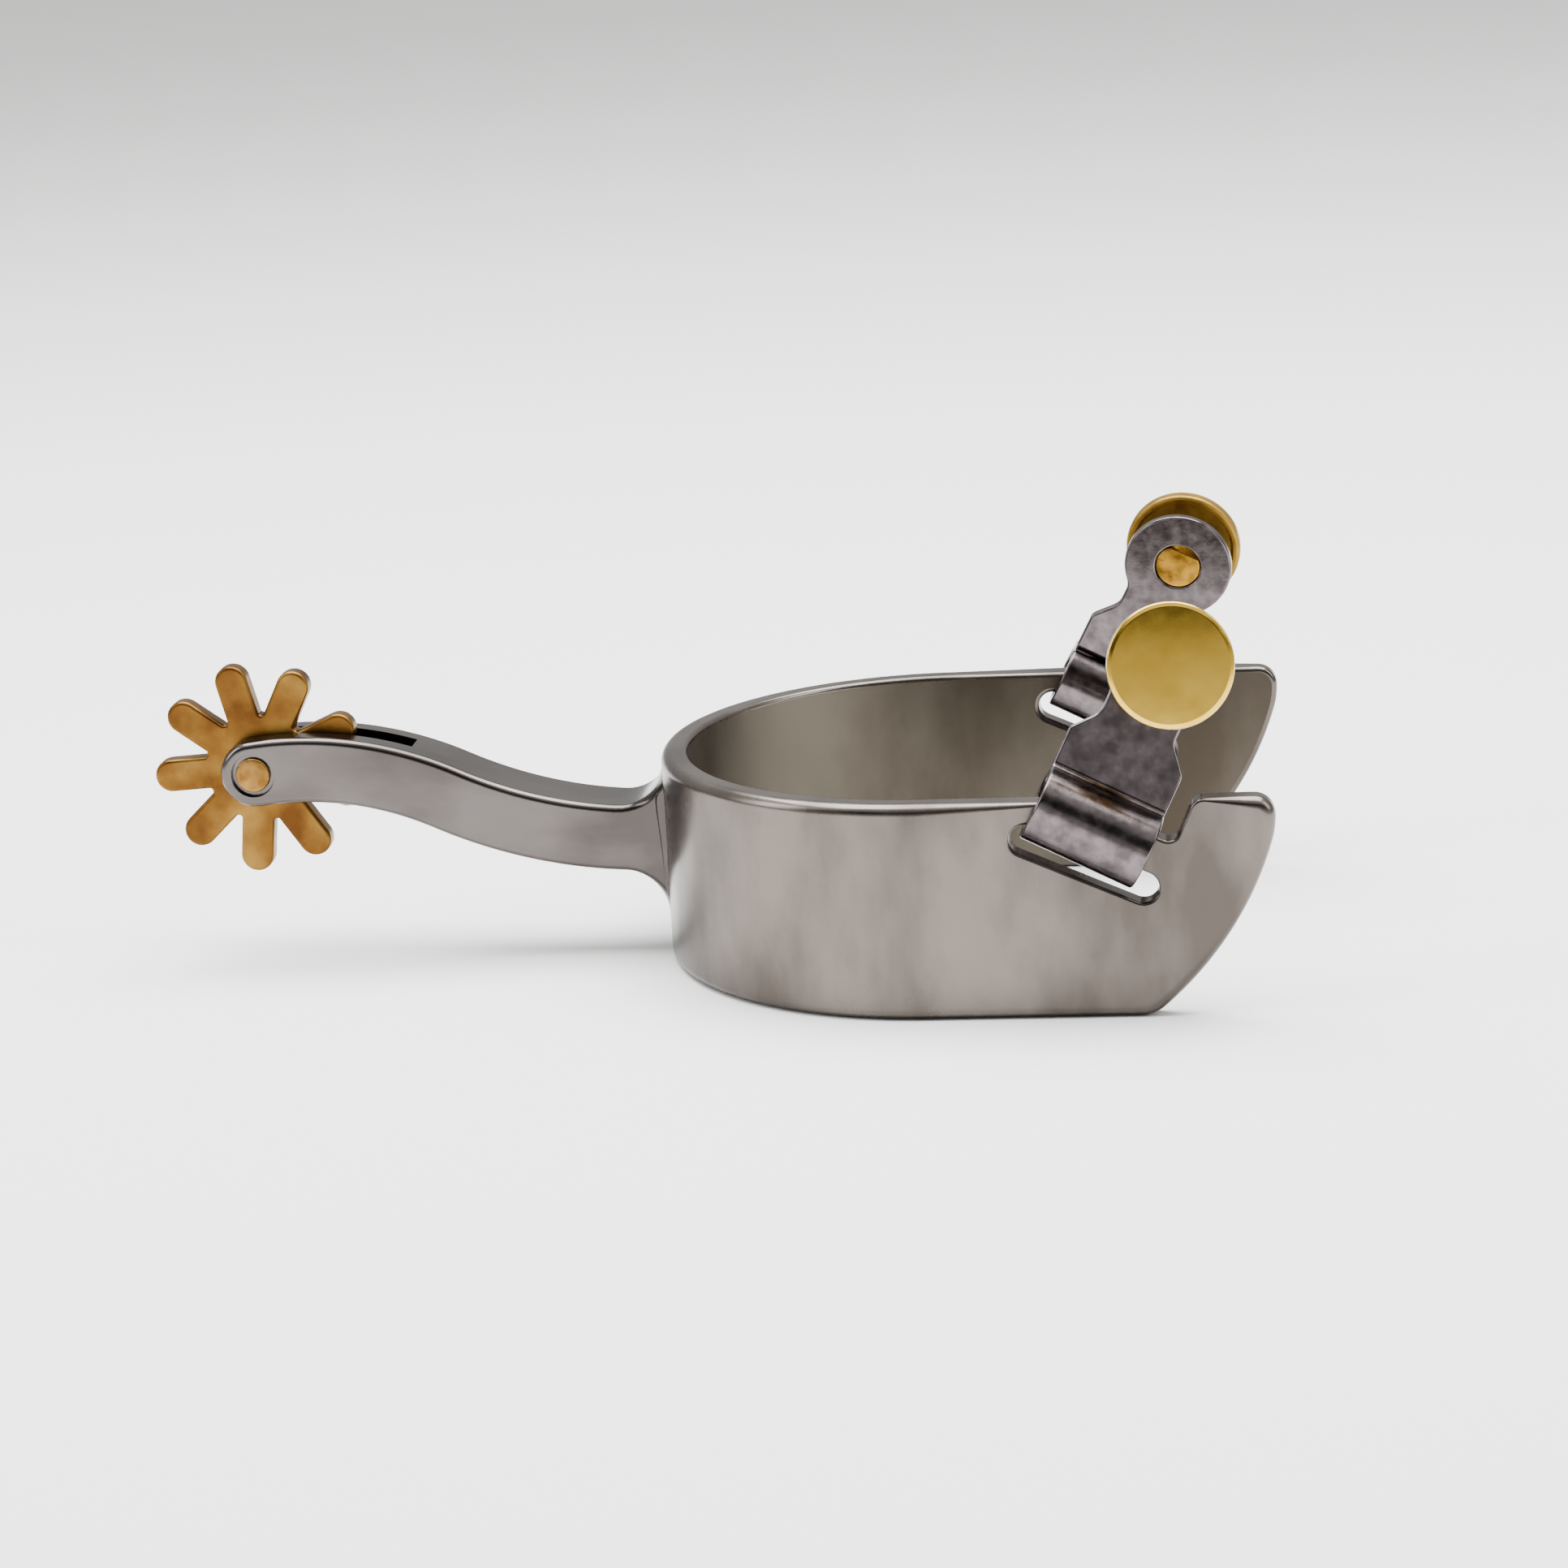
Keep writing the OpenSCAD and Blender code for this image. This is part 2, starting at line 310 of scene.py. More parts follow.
def plate(shell, loops, thick, place, ribs=(), axis=0, steps=5, slots=(0, 0, 0)):
    """A plate with rounded edges, bent by place(u, v, w), which gives a point and its three axes.

    loops holds (points, front radii, back radii), the outside counterclockwise and holes clockwise."""
    half = thick / 2
    for side, which in ((1, 0), (-1, 1)):
        faces = []
        for points, *radii in loops:
            normals = side_normals(points)
            previous = None
            for step in range(steps + 1):
                angle = math.radians(90 * step / steps)
                ring = []
                inner = []
                for i, (p, n) in enumerate(zip(points, normals)):
                    r = radii[which][i] if isinstance(radii[which], list) else radii[which]
                    flat = p - n * r * (1 - math.sin(angle))
                    inner.append(flat)
                    spot, (eu, ev, ew) = place(flat.x, flat.y, side * (half - r * (1 - math.cos(angle))))
                    edge = (eu * n.x + ev * n.y) * math.sin(angle) + ew * side * math.cos(angle)
                    ring.append((spot, edge))
                if step == 0:
                    faces.append(inner)
                else:
                    shell.strip(previous, ring, slot=slots[2])
                previous = ring
        for triangle in fill(faces, ribs, axis):
            spots = [place(p.x, p.y, side * half) for p in triangle]
            normals = [axes[2] * side for _, axes in spots]
            shell.face([spot for spot, _ in spots], normals, slots[which])
    for points, front, back in loops:
        normals = side_normals(points)
        rings = []
        for side, radii in ((1, front), (-1, back)):
            ring = []
            for i, (p, n) in enumerate(zip(points, normals)):
                r = radii[i] if isinstance(radii, list) else radii
                spot, (eu, ev, _) = place(p.x, p.y, side * (half - r))
                ring.append((spot, eu * n.x + ev * n.y))
            rings.append(ring)
        shell.strip(rings[0], rings[1], slot=slots[2])


def lathe(shell, profile, place, steps=96, clip=None, slot=0):
    """Turns (radius, height) points about a line. clip(x, y, height) may pull a point in."""
    normals = side_normals(profile, closed=False)
    rings = []
    for p, n in zip(profile, normals):
        ring = []
        for i in range(steps):
            around = polar(360 * i / steps)
            flat = around * p.x
            if clip:
                flat = clip(flat, p.y)
            spot, (eu, ev, ew) = place(flat.x, flat.y, p.y)
            ring.append((spot, (eu * around.x + ev * around.y) * n.x + ew * n.y))
        rings.append(ring)
    for a, b in zip(rings, rings[1:]):
        shell.strip(a, b, slot=slot)


# ---------------------------------------------------------------- heel band

def along_band(u, v, w):
    """u runs along the band's middle from the right tip to the left one, v is up and w is outward."""
    if abs(u) <= HEEL_ARC:
        angle = u / MID_R
        out = Vector((-math.cos(angle), math.sin(angle), 0))
        along = Vector((math.sin(angle), math.cos(angle), 0))
        spot = Vector((HEEL_R, 0, v)) + out * (MID_R + w)
    else:
        side = 1 if u > 0 else -1
        out = Vector((0, side, 0))
        along = Vector((side, 0, 0))
        spot = Vector((HEEL_R + abs(u) - HEEL_ARC, side * (MID_R + w), v))
    return spot, (along, Vector((0, 0, 1)), out)


def on_slope(along, up):
    angle = math.radians(BAR_SLOPE)
    return Vector((
        SLOT_X + along * math.cos(angle) + up * math.sin(angle),
        SLOT_Z - along * math.sin(angle) + up * math.cos(angle),
    ))


def tip_outline():
    """The swept tip, from the lower edge to the upper one."""
    corner_c = Vector((BAND_LEN - TIP_CORNER_R, BAND_H - TIP_CORNER_R))
    nose_c = Vector((BAND_LEN - NOSE_R, corner_c.y))
    sweep_c = nose_c + (NOSE_R - SWEEP_R) * polar(-NOSE_TURN)
    toe_angle = -math.degrees(math.asin((sweep_c.y - TOE_R) / (SWEEP_R - TOE_R)))
    toe_c = sweep_c + (SWEEP_R - TOE_R) * polar(toe_angle)
    return (
        arc(toe_c, TOE_R, -90, toe_angle)
        + arc(sweep_c, SWEEP_R, toe_angle, -NOSE_TURN, 24)
        + arc(nose_c, NOSE_R, -NOSE_TURN, 0, 8)
        + arc(corner_c, TIP_CORNER_R, 0, 90)
    )


def notch_outline():
    root = on_slope(NOTCH_REACH, SLOT_W / 2 + BAR_H)
    tangent = math.tan(math.radians(BAR_SLOPE))
    rise = BAND_H - root.y
    lip = Vector((root.x + rise * tangent, BAND_H))
    mouth = Vector((root.x - rise / tangent, BAND_H))
    return (
        corner((BAND_LEN, BAND_H), lip, root, NOTCH_LIP_R)
        + corner(lip, root, mouth, NOTCH_ROOT_R)
        + corner(root, mouth, (0, BAND_H), 6, 4)
    )


def slot_loop(side):
    """The slot as a clockwise loop on one side of the band."""
    half = (SLOT_LEN - SLOT_W) / 2
    ends = ((half, -90), (-half, 90))
    loop = []
    for along, start in ends:
        for i in range(17):
            turned = polar(start + 180 * i / 16) * SLOT_W / 2
            place = on_slope(along + turned.x, turned.y)
            loop.append(Vector((side * (place.x - HEEL_R + HEEL_ARC), place.y)))
    loop = distinct(loop)
    if side > 0:
        loop.reverse()
    return loop


def make_band(materials):
    shift = Vector((HEEL_ARC - HEEL_R, 0))
    bends = [HEEL_ARC * i / HEEL_STEPS for i in range(HEEL_STEPS + 1)]
    low = [(Vector((u, 0)), OUTER_ROUND) for u in bends]
    tip = [(p + shift, OUTER_ROUND) for p in tip_outline()]
    notch = [(p + shift, SLOT_ROUND) for p in notch_outline()]
    high = [(Vector((u, BAND_H)), OUTER_ROUND) for u in reversed(bends)]
    half = low + tip + notch + high
    whole = half + [(Vector((-p.x, p.y)), r) for p, r in reversed(half)]
    points, outer = [], []
    for p, r in whole:
        if not points or (p - points[-1]).length > SAME_POINT:
            points.append(p)
            outer.append(r)
    if (points[0] - points[-1]).length < SAME_POINT:
        points.pop()
        outer.pop()
    inner = [INNER_ROUND] * len(points)
    loops = [(points, outer, inner)]
    loops += [(slot_loop(side), SLOT_ROUND, INNER_ROUND) for side in (-1, 1)]
    shell = Shell()
    ribs = [side * u for u in bends for side in (-1, 1)]
    # The back face, inside the band, takes the second material, whose darker colour is painted shade
    plate(shell, loops, BAND_T, along_band, ribs, 0, 6, (0, 1, 0))
    return shell.build("band", materials, "frame", "heel_band")


# ---------------------------------------------------------------- shank

CREST_X = -DIP_BACK - (DIP_R + CREST_R) * math.sin(math.radians(S_ANGLE))
CREST_Z = DIP_Z + (DIP_R + CREST_R) * (1 - math.cos(math.radians(S_ANGLE)))
PIN_TURN = math.degrees(math.asin((CREST_X + PIN_BACK) / CREST_R))
PIN_Z = CREST_Z - CREST_R * (1 - math.cos(math.radians(PIN_TURN)))
PIN_C = Vector((-PIN_BACK, PIN_Z))


def fillet_centre(reach):
    back = FILLET_R - DIP_BACK
    return Vector((-FILLET_R, DIP_Z + DIP_R - math.sqrt(reach * reach - back * back)))


def shank_chain():
    """Side view of the shank, from the heel's upper fillet round the ear to the lower fillet."""
    half = SHANK_H / 2
    dip_c = Vector((-DIP_BACK, DIP_Z + DIP_R))
    crest_c = Vector((CREST_X, CREST_Z - CREST_R))
    upper_c = fillet_centre(DIP_R - half - FILLET_R)
    lower_c = fillet_centre(DIP_R + half + FILLET_R)
    upper_end = math.degrees(math.atan2(upper_c.y - dip_c.y, upper_c.x - dip_c.x))
    lower_end = math.degrees(math.atan2(lower_c.y - dip_c.y, lower_c.x - dip_c.x))
    return distinct(
        [upper_c + Vector((FILLET_R + EMBED, 0.6))]
        + arc(upper_c, FILLET_R, 0, upper_end)
        + arc(dip_c, DIP_R - half, upper_end, -90 - S_ANGLE, 20)
        + arc(crest_c, CREST_R + half, 90 - S_ANGLE, 90 + PIN_TURN, 24)
        + arc(PIN_C, half, 90 + PIN_TURN, 270 + PIN_TURN, 32)
        + arc(crest_c, CREST_R - half, 90 + PIN_TURN, 90 - S_ANGLE, 24)
        + arc(dip_c, DIP_R + half, -90 - S_ANGLE, lower_end, 20)
        + arc(lower_c, FILLET_R, 180 + lower_end, 0)
        + [lower_c + Vector((FILLET_R + EMBED, -0.6))],
        closed=False,
    )


def cut_chain(chain, x):
    """Adds the points where a chain crosses x, and returns it with their places in it."""
    result, cuts = [], []
    for a, b in zip(chain, chain[1:]):
        result.append(a)
        if (a.x - x) * (b.x - x) < 0:
            cuts.append(len(result))
            result.append(a + (b - a) * (x - a.x) / (b.x - a.x))
    result.append(chain[-1])
    return result, cuts


def on_shank(x, z, y):
    """Widens the root towards the heel, and fits its end to the heel's curve."""
    near = min(max((x + FLARE_LEN) / FLARE_LEN, 0), 1.2)
    wide = y * (1 + FLARE * near ** 3)
    slope = y * FLARE * 3 * near ** 2 / FLARE_LEN
    sag = HEEL_R - math.sqrt(HEEL_R ** 2 - wide ** 2)
    axes = (Vector((1, 0, 0)), Vector((0, 0, 1)), Vector((-slope, 1, 0)).normalized())
    return Vector((x + sag * near, wide, z)), axes


def weld_bead(shell, side):
    """The bead between the shank's side and the heel: thick at the top, and thinning downward."""
    count, around = 28, 20
    low = DIP_Z - SHANK_H / 2 - BEAD_BELOW
    high = DIP_Z + SHANK_H / 2 + BEAD_ABOVE
    rings = []
    for k in range(count + 1):
        share = k / count
        z = low + (high - low) * share
        ripple = BEAD_RIPPLE * noise.noise(Vector((z * 0.7, side, 0)))
        radius = BEAD_THIN + BEAD_GROWTH * share ** 1.5 + ripple
        radius *= math.sqrt(max(1 - (2 * share - 1) ** 8, 0))
        y = side * (7.5 + 0.9 * share)
        middle = Vector((HEEL_R - math.sqrt(HEEL_R ** 2 - y ** 2), y, z))
        ring = []
        for i in range(around):
            turned = polar(360 * i / around)
            normal = Vector((turned.x, turned.y, 0))
            ring.append((middle + normal * radius, normal))
        rings.append(ring)
    for a, b in zip(rings, rings[1:]):
        shell.strip(a, b)


def make_shank(materials):
    fork_end = -PIN_BACK + FORK_LEN
    chain, (top, bottom) = cut_chain(shank_chain(), fork_end)
    normals = side_normals(chain, closed=False)
    half_t = SHANK_T / 2
    half_gap = FORK_GAP / 2
    shell = Shell()

    def at(i, y, inset=0.0, lean=0.0):
        flat = chain[i] - normals[i] * inset
        spot, (ex, ez, ey) = on_shank(flat.x, flat.y, y)
        side = 1 if y > 0 else -1
        edge = ex * normals[i].x + ez * normals[i].y
        return spot, (edge * math.cos(lean) + ey * side * math.sin(lean)).normalized()

    numbers = range(len(chain))
    steps = 6
    for side in (-1, 1):
        rings = []
        for step in range(steps + 1):
            lean = math.radians(90 * (1 - step / steps))
            y = side * (half_t - SHANK_ROUND * (1 - math.sin(lean)))
            inset = SHANK_ROUND * (1 - math.cos(lean))
            rings.append([at(i, y, inset, lean) for i in numbers])
        rings.append([at(i, side * half_gap) for i in numbers])
        for a, b in zip(rings, rings[1:]):
            shell.strip(a, b, closed=False)

        # The flat side, with the recess and the bore of the pin
        outside = [chain[i] - normals[i] * SHANK_ROUND for i in numbers]
        hole = [PIN_C + (RECESS_R + RECESS_LIP) * polar(360 * i / HOLE_STEPS) for i in range(HOLE_STEPS)]
        for triangle in fill([outside, hole], (), 0):
            spots = [on_shank(p.x, p.y, side * half_t) for p in triangle]
            shell.face([s for s, _ in spots], [axes[2] * side for _, axes in spots])
        profile = [
            Vector((RECESS_R + RECESS_LIP, half_t)),
            Vector((RECESS_R + 0.04, half_t - 0.04)),
            Vector((RECESS_R, half_t - RECESS_LIP)),
            Vector((RECESS_R, half_t - RECESS_DEEP)),
            Vector((PIN_R, half_t - RECESS_DEEP)),
            Vector((PIN_R, half_gap)),
        ]
        for a, b in zip(profile, profile[1:]):
            step_n = Vector((b.y - a.y, a.x - b.x)).normalized()
            for i in range(HOLE_STEPS):
                quad = []
                for p, turn in ((a, i), (a, i + 1), (b, i + 1), (b, i)):
                    around = polar(360 * turn / HOLE_STEPS)
                    spot = Vector((PIN_C.x + around.x * p.x, side * p.y, PIN_C.y + around.y * p.x))
                    quad.append((spot, Vector((around.x * step_n.x, side * step_n.y, around.y * step_n.x))))
                shell.face([q[0] for q in quad], [q[1] for q in quad])

        # The inside of the fork
        ear = [chain[i] for i in range(top, bottom + 1)]
        bore = [PIN_C + PIN_R * polar(360 * i / HOLE_STEPS) for i in range(HOLE_STEPS)]
        for triangle in fill([ear, bore], (), 0):
            places = [Vector((p.x, side * half_gap, p.y)) for p in triangle]
            shell.face(places, [Vector((0, -side, 0))] * 3)

    # The middle of the upper and lower surfaces, and the closed end of the fork
    for run in (range(0, top + 1), range(bottom, len(chain))):
        shell.strip([at(i, -half_gap) for i in run], [at(i, half_gap) for i in run], closed=False)
    corners = ((top, -half_gap), (top, half_gap), (bottom, half_gap), (bottom, -half_gap))
    places = [at(i, y)[0] for i, y in corners]
    shell.face(places, [Vector((-1, 0, 0))] * 4)
    for side in (-1, 1):
        weld_bead(shell, side)
    return shell.build("shank_piece", materials, "frame", "shank")


# ---------------------------------------------------------------- rowel and pin

def across(u, v, w):
    """A flat piece in side view, centred on the middle of the spur."""
    return Vector((u, w, v)), (Vector((1, 0, 0)), Vector((0, 0, 1)), Vector((0, 1, 0)))


def make_rowel(material):
    half = TOOTH_W / 2
    root = math.sqrt(DISC_R ** 2 - half ** 2)
    loop = []
    for i in range(TEETH):
        turn = FIRST_TOOTH + i * 360 / TEETH
        tooth = [Vector((root, -half))]
        tooth += arc((TOOTH_CIRCLE_R, 0), half, -90, 90, 16)
        tooth += [Vector((root, half))]
        way = Matrix.Rotation(math.radians(turn), 2)
        loop += [PIN_C + way @ p for p in tooth]
        between = turn + 180 / TEETH
        loop.append(PIN_C + (DISC_R - GAP_ROUND) * polar(between))
    loop = distinct(loop)
    hole = [PIN_C + (PIN_R + PIN_PLAY) * polar(-360 * i / HOLE_STEPS) for i in range(HOLE_STEPS)]
    shell = Shell()
    loops = [(loop, ROWEL_ROUND, ROWEL_ROUND), (hole, BORE_ROUND, BORE_ROUND)]
    plate(shell, loops, ROWEL_T, across, steps=5)
    return shell.build("rowel_wheel", [material], "rowel", "rowel")


def make_pin(material):
    crown = (PIN_R * 0.6, -PIN_HALF + 0.08)
    half = [Vector((0, -PIN_HALF)), Vector(crown)]
    half += corner(crown, (PIN_R, -PIN_HALF + 0.25), (PIN_R, 0), PIN_ROUND)
    profile = half + [Vector((p.x, -p.y)) for p in reversed(half)]

    def place(u, v, w):
        return across(PIN_C.x + u, PIN_C.y + v, w)

    shell = Shell()
    lathe(shell, distinct(profile, closed=False), place, 64)
    return shell.build("peened_pin", [material], "frame", "rowel_pin")


# ---------------------------------------------------------------- hangers and buttons

LOOP_R = math.hypot(BAND_T, BAR_H) / 2 + LOOP_PLAY
BEND_REACH = LOOP_R + SHEET_T + NECK_R
BEND_ANGLE = math.acos(NECK_R / BEND_REACH)
BEND_UP = BEND_REACH * math.sin(BEND_ANGLE)
NECK_MID = NECK_R + SHEET_T / 2
LOOP_MID = LOOP_R + SHEET_T / 2
NECK_LEN = NECK_MID * BEND_ANGLE
LOOP_LEN = LOOP_MID * (BEND_ANGLE - math.radians(TUCK_ANGLE - 360))


def hinge_frame(side):
    """Turns (along the bar, out, up) at one hinge into a place, and the same for directions."""
    hinge = on_slope(HANGER_FORWARD, (SLOT_W + BAR_H) / 2)
    sloped = Matrix.Rotation(math.radians(BAR_SLOPE + ASKEW), 3, "Y")
    turn = sloped @ Matrix.Rotation(math.radians(LEAN), 3, "X")
    flip = Matrix.Diagonal((1, side, 1))
    start = Vector((hinge.x, HEEL_R - BAND_T / 2, hinge.y))

    def direction(x, out, up):
        return flip @ (turn @ Vector((x, out, up)))

    def spot(x, out, up):
        return flip @ start + direction(x, out, up)

    return spot, direction


def on_sheet(side):
    """The hanger's sheet: v runs up from its tucked end, round the loop and up the plate."""
    spot, direction = hinge_frame(side)

    def place(u, v, w):
        if v >= BEND_UP:
            out, up = -SHEET_T / 2 + w, v
            along, outward = (0, 1), (1, 0)
        elif v >= BEND_UP - NECK_LEN:
            angle = math.pi + (BEND_UP - v) / NECK_MID
            c, s = math.cos(angle), math.sin(angle)
            out = NECK_R + (NECK_MID - w) * c
            up = BEND_UP + (NECK_MID - w) * s
            along, outward = (s, -c), (-c, -s)
        else:
            angle = BEND_ANGLE - (BEND_UP - NECK_LEN - v) / LOOP_MID
            c, s = math.cos(angle), math.sin(angle)
            out, up = (LOOP_MID + w) * c, (LOOP_MID + w) * s
            along, outward = (-s, c), (c, s)
        axes = (direction(1, 0, 0), direction(0, *along), direction(0, *outward))
        return spot(u, out, up), axes

    return place


def plate_side():
    half_w = HANGER_W / 2
    shoulder = (half_w, SHOULDER_UP)
    waist_low = (WAIST, WAIST_UP)
    hollow_x = WAIST + HOLLOW_R
    hollow_down = math.sqrt((EYE_R + HOLLOW_R) ** 2 - hollow_x ** 2)
    hollow_c = Vector((hollow_x, EYE_UP - hollow_down))
    eye_start = math.degrees(math.atan2(-hollow_down, hollow_x))
    return (
        corner((half_w, BEND_UP), shoulder, waist_low, SHOULDER_R)
        + corner(shoulder, waist_low, (WAIST, hollow_c.y), HOLLOW_R)
        + arc(hollow_c, HOLLOW_R, 180, 180 + eye_start)
        + arc((0, EYE_UP), EYE_R, eye_start, 90, 32)
    )


def make_hanger(side, name, material):
    low = BEND_UP - NECK_LEN - LOOP_LEN
    half_w = HANGER_W / 2
    loop_low = low + SHEET_ROUND
    loop_top = BEND_UP - NECK_LEN
    ribs = [loop_low + (loop_top - loop_low) * i / LOOP_RIBS for i in range(LOOP_RIBS + 1)]
    ribs += [loop_top + NECK_LEN * i / NECK_RIBS for i in range(1, NECK_RIBS + 1)]
    ribs = [v for v in ribs if v > low + FOOT_CLEAR]
    foot = corner((0, low), (half_w, low), (half_w, BEND_UP), SHEET_ROUND * 1.1, 3)
    right = foot + [Vector((half_w, v)) for v in ribs] + plate_side()
    points = distinct(right + [Vector((-p.x, p.y)) for p in reversed(right)])
    eye_c = Vector((0, EYE_UP))
    eye_r = POST_R + EYE_PLAY
    hole = [eye_c + eye_r * polar(-360 * i / HOLE_STEPS) for i in range(HOLE_STEPS)]
    shell = Shell()
    loops = [(points, SHEET_ROUND, SHEET_ROUND), (hole, EYE_ROUND, EYE_ROUND)]
    plate(shell, loops, SHEET_T, on_sheet(side), ribs, 1, 4)
    body = name.replace("_strap", "")
    return shell.build(name, [material], body, body)


def out_from_hinge(side):
    spot, direction = hinge_frame(side)

    def place(u, v, w):
        axes = (direction(1, 0, 0), direction(0, 0, 1), direction(0, 1, 0))
        return spot(u, w, EYE_UP + v), axes

    return place


def make_button(side, name, materials):
    """A turned brass button with a hollow back, a rounded rim and a bevelled, slightly domed face."""
    back = STRAP_GAP
    hollow = back + BACK_DEEP
    rim_in = BUTTON_R - RIM_W
    rim_foot = (rim_in + 0.2, back)
    profile = [Vector((0, hollow))]
    profile += corner((0, hollow), (rim_in, hollow), rim_foot, 0.3)
    profile += corner((rim_in, hollow), rim_foot, (BUTTON_R, back), 0.2)
    profile += corner((rim_in, back), (BUTTON_R, back), (BUTTON_R, back + 2), 0.6)
    edge = Vector((BUTTON_R, back + 1.2))
    rim_top = (BUTTON_R, back + RIM_T)
    front = [edge]
    front += corner((BUTTON_R, back), rim_top, (8.3, back + 2.3), 0.4)
    front += corner(rim_top, (8.25, back + 2.28), (BEVEL_R, back + 2.35), 0.6)
    for r in (BEVEL_R, 6.6, 5.5, 4.4, 3.3, 2.2, 1.1, 0):
        front.append(Vector((r, back + BUTTON_T - DOME * (r / 8.0) ** 2)))
    shell = Shell()
    # The back and the lower side of the rim take the second material, darkened as painted shade
    lathe(shell, distinct(profile + [edge], closed=False), out_from_hinge(side), BUTTON_STEPS, slot=1)
    lathe(shell, distinct(front, closed=False), out_from_hinge(side), BUTTON_STEPS)
    body = name.replace("_button_disc", "_hanger")
    return shell.build(name, materials, body, name.replace("_disc", ""))


def make_post(side, name, material):
    base = -SHEET_T + 0.05
    profile = [Vector((0, base)), Vector((POST_R * 0.7, base + 0.02))]
    profile += corner((0, base), (POST_R, base + 0.05), (POST_R, 0), 0.3, 4)
    heights = (-0.03, 0.05, STRAP_GAP - 0.02, STRAP_GAP + 0.02, STRAP_GAP + 0.75)
    profile += [Vector((POST_R, height)) for height in heights]
    profile.append(Vector((0, STRAP_GAP + BACK_DEEP)))

    def flat(p, height):
        return Vector((p.x, min(p.y, POST_FLAT))) if height < STRAP_GAP else p

    shell = Shell()
    lathe(shell, distinct(profile, closed=False), out_from_hinge(side), POST_STEPS, flat)
    body = name.replace("_post_stem", "_hanger")
    return shell.build(name, [material], body, name.replace("_post_stem", "_button_post"))


# ---------------------------------------------------------------- materials

def speckles(nodes, links, source, scale, detail):
    """Grey noise over the surface, at the places that the source gives."""
    texture = nodes.new("ShaderNodeTexNoise")
    texture.inputs["Scale"].default_value = scale
    texture.inputs["Detail"].default_value = detail
    links.new(source, texture.inputs["Vector"])
    return texture.outputs["Fac"]


def bumps(nodes, links, height, strength):
    bump = nodes.new("ShaderNodeBump")
    bump.inputs["Strength"].default_value = strength
    bump.inputs["Distance"].default_value = BUMP_DEPTH
    links.new(height, bump.inputs["Height"])
    return bump


def metal(name, tones, rough, scale, stretch=(1, 1, 1), grain=0.02, scratch=0.0, tone_at=(0.35, 0.65)):
    """A procedural metal: two or three tones in soft patches, varied gloss and a fine surface grain."""
    material = bpy.data.materials.new(name)
    material.use_nodes = True
    nodes = material.node_tree.nodes
    links = material.node_tree.links
    shader = nodes["Principled BSDF"]
    shader.inputs["Metallic"].default_value = 1.0
    coords = nodes.new("ShaderNodeTexCoord")
    mapping = nodes.new("ShaderNodeMapping")
    mapping.inputs["Scale"].default_value = stretch
    links.new(coords.outputs["Object"], mapping.inputs["Vector"])

    ramp = nodes.new("ShaderNodeValToRGB")
    elements = ramp.color_ramp.elements
    elements[0].position = tone_at[0]
    elements[1].position = tone_at[1]
    elements[0].color = (*tones[0], 1)
    elements[1].color = (*tones[-1], 1)
    if len(tones) == 3:
        middle = elements.new(sum(tone_at) / 2)
        middle.color = (*tones[1], 1)
    patches = speckles(nodes, links, mapping.outputs["Vector"], scale, 6.0)
    links.new(patches, ramp.inputs["Fac"])
    links.new(ramp.outputs["Color"], shader.inputs["Base Color"])

    spread = nodes.new("ShaderNodeMapRange")
    spread.inputs["From Min"].default_value = 0.3
    spread.inputs["From Max"].default_value = 0.7
    spread.inputs["To Min"].default_value = rough[0]
    spread.inputs["To Max"].default_value = rough[1]
    gloss = speckles(nodes, links, mapping.outputs["Vector"], scale * 2.3, 8.0)
    links.new(gloss, spread.inputs["Value"])
    links.new(spread.outputs["Result"], shader.inputs["Roughness"])

    fine = speckles(nodes, links, coords.outputs["Object"], FINE_GRAIN, 3.0)
    surface = bumps(nodes, links, fine, grain)
    if scratch:
        turned = nodes.new("ShaderNodeMapping")
        turned.inputs["Rotation"].default_value = (0.3, 0.5, 0.2)
        turned.inputs["Scale"].default_value = (60, 400, 2200)
        links.new(coords.outputs["Object"], turned.inputs["Vector"])
        lines = speckles(nodes, links, turned.outputs["Vector"], 1.0, 4.0)
        scratched = bumps(nodes, links, lines, scratch)
        links.new(surface.outputs["Normal"], scratched.inputs["Normal"])
        surface = scratched
    links.new(surface.outputs["Normal"], shader.inputs["Normal"])
    return material


